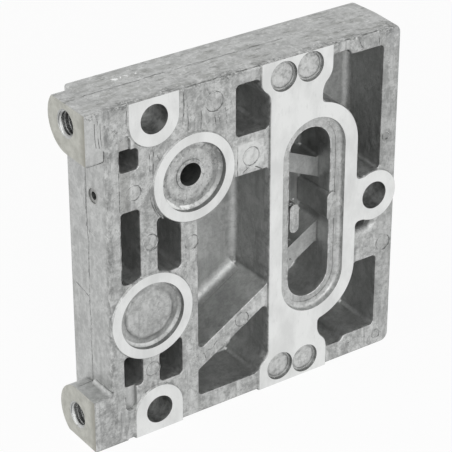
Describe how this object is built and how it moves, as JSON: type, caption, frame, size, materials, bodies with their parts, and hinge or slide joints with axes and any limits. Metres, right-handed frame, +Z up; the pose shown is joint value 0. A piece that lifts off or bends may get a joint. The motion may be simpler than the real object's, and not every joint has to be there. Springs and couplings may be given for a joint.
{
  "type": "valve end plate",
  "caption": "Die-cast end plate for a valve manifold: ring seats, a long stepped slot, tie-rod bosses, ribbed pockets and threaded side ears.",
  "frame": {"origin": "middle of the footprint, on the flat base that the plate stands on", "axes": "+Z up along the long slot, +Y from the machined front to the plain back, -X towards the threaded ears"},
  "size_m": [0.107, 0.0212, 0.107],
  "materials": {
    "casting": "as die-cast, with fine-milled lands"
  },
  "bodies": {
    "root": {"end_plate": "casting"}
  },
  "joints": []
}
